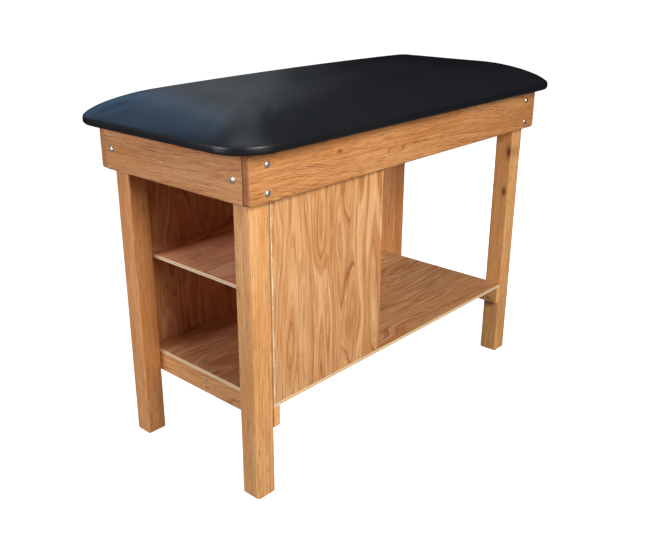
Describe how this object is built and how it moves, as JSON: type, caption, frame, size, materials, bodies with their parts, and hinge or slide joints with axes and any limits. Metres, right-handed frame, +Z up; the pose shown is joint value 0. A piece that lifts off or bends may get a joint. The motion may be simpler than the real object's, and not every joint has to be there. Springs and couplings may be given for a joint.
{
  "type": "treatment table",
  "caption": "Padded treatment table with a black vinyl top on a bolted oak frame, an open-ended plywood cabinet with a middle shelf, and a full-length lower shelf.",
  "frame": {"origin": "on the floor, below the middle of the pad", "axes": "+X along the table's length away from the cabinet, +Y across it to the rear, +Z up"},
  "size_m": [1.27, 0.61, 0.9144],
  "materials": {
    "solid_oak": "satin",
    "oak_plywood": "satin",
    "pad_plywood": "matte",
    "pad_foam": "matte",
    "black_vinyl": "satin",
    "zinc_hardware": "satin"
  },
  "bodies": {
    "root": {"front_apron_board": "solid_oak", "rear_apron_board": "solid_oak", "left_end_apron_board": "solid_oak", "right_end_apron_board": "solid_oak", "leg_front_left": "solid_oak", "leg_rear_left": "solid_oak", "leg_front_right": "solid_oak", "leg_rear_right": "solid_oak", "shelf_rail_left": "solid_oak", "shelf_rail_right": "solid_oak", "shelf_stretcher": "solid_oak", "pad_cleat_front": "solid_oak", "pad_cleat_rear": "solid_oak", "lower_shelf": "oak_plywood", "cabinet_front_panel": "oak_plywood", "cabinet_rear_panel": "oak_plywood", "cabinet_partition": "oak_plywood", "cabinet_middle_shelf": "oak_plywood", "pad_board": "pad_plywood", "pad_foam": "pad_foam", "pad_cover": "black_vinyl", "carriage_bolt_front_left_upper": "zinc_hardware", "nut_front_left_upper": "zinc_hardware", "carriage_bolt_front_left_lower": "zinc_hardware", "nut_front_left_lower": "zinc_hardware", "carriage_bolt_front_left_end": "zinc_hardware", "nut_front_left_end": "zinc_hardware", "carriage_bolt_rear_left_upper": "zinc_hardware", "nut_rear_left_upper": "zinc_hardware", "carriage_bolt_rear_left_lower": "zinc_hardware", "nut_rear_left_lower": "zinc_hardware", "carriage_bolt_rear_left_end": "zinc_hardware", "nut_rear_left_end": "zinc_hardware", "carriage_bolt_front_right_upper": "zinc_hardware", "nut_front_right_upper": "zinc_hardware", "carriage_bolt_front_right_lower": "zinc_hardware", "nut_front_right_lower": "zinc_hardware", "carriage_bolt_front_right_end": "zinc_hardware", "nut_front_right_end": "zinc_hardware", "carriage_bolt_rear_right_upper": "zinc_hardware", "nut_rear_right_upper": "zinc_hardware", "carriage_bolt_rear_right_lower": "zinc_hardware", "nut_rear_right_lower": "zinc_hardware", "carriage_bolt_rear_right_end": "zinc_hardware", "nut_rear_right_end": "zinc_hardware", "rail_screw_front_left": "zinc_hardware", "rail_screw_rear_left": "zinc_hardware", "rail_screw_front_right": "zinc_hardware", "rail_screw_rear_right": "zinc_hardware", "shelf_screw_front_left": "zinc_hardware", "shelf_screw_rear_left": "zinc_hardware", "shelf_screw_front_right": "zinc_hardware", "shelf_screw_rear_right": "zinc_hardware", "stretcher_screw_left_upper": "zinc_hardware", "stretcher_screw_left_lower": "zinc_hardware", "stretcher_screw_right_upper": "zinc_hardware", "stretcher_screw_right_lower": "zinc_hardware"}
  },
  "joints": []
}
